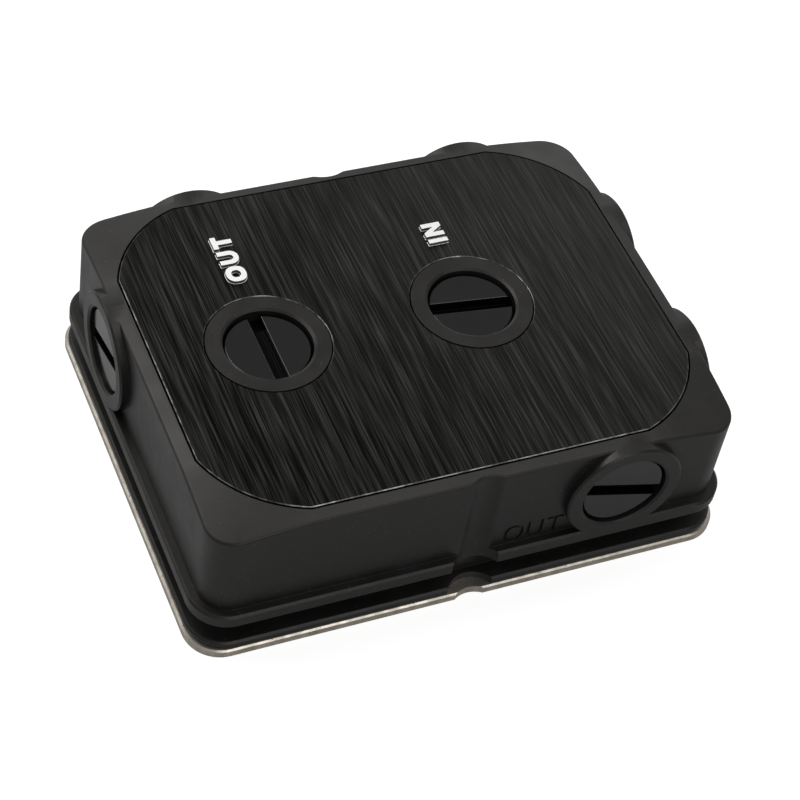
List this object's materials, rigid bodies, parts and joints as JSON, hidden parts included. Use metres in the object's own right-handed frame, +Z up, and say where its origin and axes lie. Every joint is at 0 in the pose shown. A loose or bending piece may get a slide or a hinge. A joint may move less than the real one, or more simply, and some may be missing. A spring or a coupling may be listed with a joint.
{
  "type": "liquid cooling cold plate",
  "caption": "Flat rectangular liquid cooling block: metal base, black moulded housing with a bracket groove and slotted port plugs, brushed cover plate on top.",
  "frame": {"origin": "middle of the contact face, the flat underside of the base, at the middle of the object's box", "axes": "+Z up from the contact face through the cover plate, +X to the right along the long front side, +Y to the back; the front side has one port, at the right"},
  "size_m": [0.0878, 0.0698, 0.0261],
  "materials": {
    "housing_nylon": "moulded, fine matte grain, black",
    "cover_aluminium": "brushed and anodised black",
    "adhesive_film": "clear matte",
    "nickel_plate": "nickel plated copper, milled and satin",
    "seal_rubber": "matte black",
    "screw_steel": "bright stainless steel",
    "guide_nylon": "moulded, black",
    "plug_black": "polished brass, plated black, glossy"
  },
  "bodies": {
    "root": {"housing": "housing_nylon", "cover_plate": "cover_aluminium", "cover_film": "adhesive_film", "cold_base": "nickel_plate", "base_seal": "seal_rubber", "base_screws": "screw_steel", "jet_plate": "screw_steel", "inlet_guide": "guide_nylon", "inlet_seal": "seal_rubber", "top_outlet_plug": "plug_black", "top_outlet_plug_seal": "seal_rubber", "top_inlet_plug": "plug_black", "top_inlet_plug_seal": "seal_rubber", "front_plug": "plug_black", "front_plug_seal": "seal_rubber", "back_left_plug": "plug_black", "back_left_plug_seal": "seal_rubber", "back_right_plug": "plug_black", "back_right_plug_seal": "seal_rubber", "left_plug": "plug_black", "left_plug_seal": "seal_rubber", "right_front_plug": "plug_black", "right_front_plug_seal": "seal_rubber", "right_rear_plug": "plug_black", "right_rear_plug_seal": "seal_rubber"}
  },
  "joints": []
}
